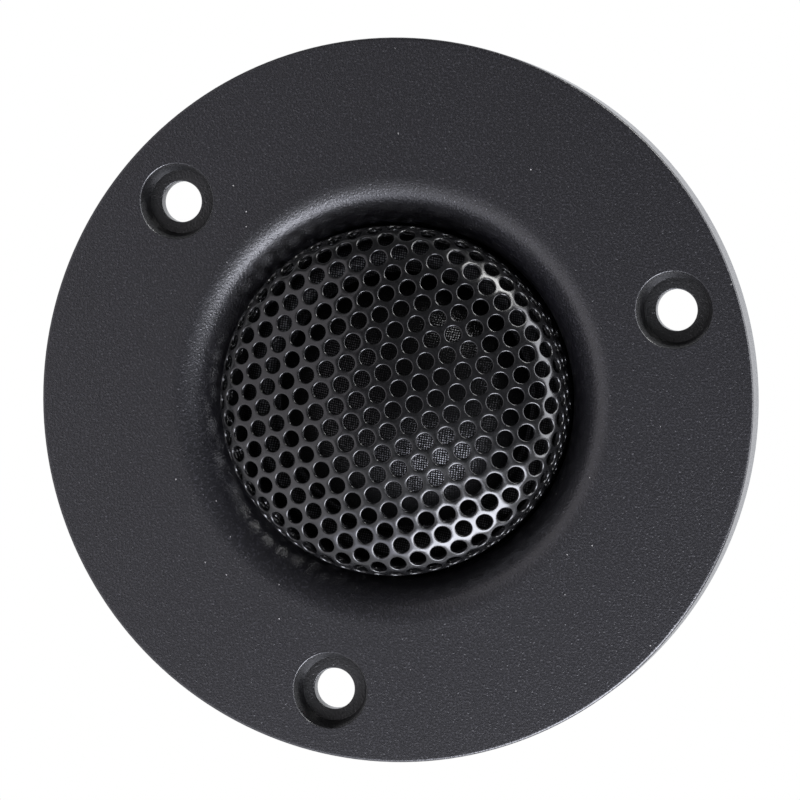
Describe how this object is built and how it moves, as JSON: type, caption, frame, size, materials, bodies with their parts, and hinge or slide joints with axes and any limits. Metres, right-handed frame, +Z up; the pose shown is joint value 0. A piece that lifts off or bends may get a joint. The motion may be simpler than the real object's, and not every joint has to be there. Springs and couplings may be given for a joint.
{
  "type": "car tweeter",
  "caption": "Round flush-mount car tweeter: a soft dome behind a domed perforated grille in a black screw-down faceplate, with a sealed rear chamber.",
  "frame": {"origin": "centre of the plane where the rear rim of the faceplate meets the panel", "axes": "+Y along the sound axis towards the rear, so the front faces -Y; +Z up; +X to the right seen from the front"},
  "size_m": [0.07, 0.0422, 0.07],
  "materials": {
    "black_coat": "fine-grained matte black powder coat on die-cast metal",
    "black_mesh": "satin black lacquer on perforated steel",
    "silk": "woven dome cloth with a thin sealing coat",
    "foam": "closed-cell foam",
    "former_film": "amber polyimide film",
    "winding_copper": "enamelled copper wire",
    "black_plastic": "moulded, lightly textured",
    "zinc_steel": "zinc-plated, passivated",
    "nickel_plate": "nickel-plated neodymium",
    "copper_sheet": "bare copper",
    "grey_felt": "pressed wool felt",
    "white_wool": "loose damping fibre",
    "black_zinc": "black zinc plate",
    "board": "phenolic paper board",
    "brass_tab": "stamped brass",
    "red_sleeve": "PVC sleeve",
    "black_sleeve": "PVC sleeve"
  },
  "bodies": {
    "housing": {"faceplate": "black_coat", "flange_gasket": "foam", "grille": "black_mesh", "diaphragm_gasket": "foam", "surround": "silk", "diaphragm_ring": "black_plastic", "top_plate": "zinc_steel", "magnet_ring": "nickel_plate", "t_yoke": "zinc_steel", "copper_cap": "copper_sheet", "pole_felt": "grey_felt", "rear_chamber": "black_plastic", "damping_wool": "white_wool", "chamber_screw_1": "black_zinc", "chamber_screw_2": "black_zinc", "chamber_screw_3": "black_zinc", "terminal_board": "board", "terminal_positive": "brass_tab", "terminal_negative": "brass_tab", "rivet_positive": "brass_tab", "rivet_negative": "brass_tab", "coil_tab_positive": "brass_tab", "coil_tab_negative": "brass_tab", "tinsel_lead_positive": "copper_sheet", "tinsel_lead_negative": "copper_sheet", "lead_positive": "red_sleeve", "lead_negative": "black_sleeve"},
    "diaphragm": {"dome": "silk", "voice_coil_former": "former_film", "voice_coil_winding": "winding_copper"}
  },
  "joints": [
    {"name": "diaphragm_slide", "type": "slide", "parent": "housing", "child": "diaphragm", "axis": [0, -1, 0], "range_m": [-0.0005, 0.0005], "stiffness_N_per_m": 150, "deforming": ["surround", "tinsel_lead_positive", "tinsel_lead_negative"]}
  ]
}
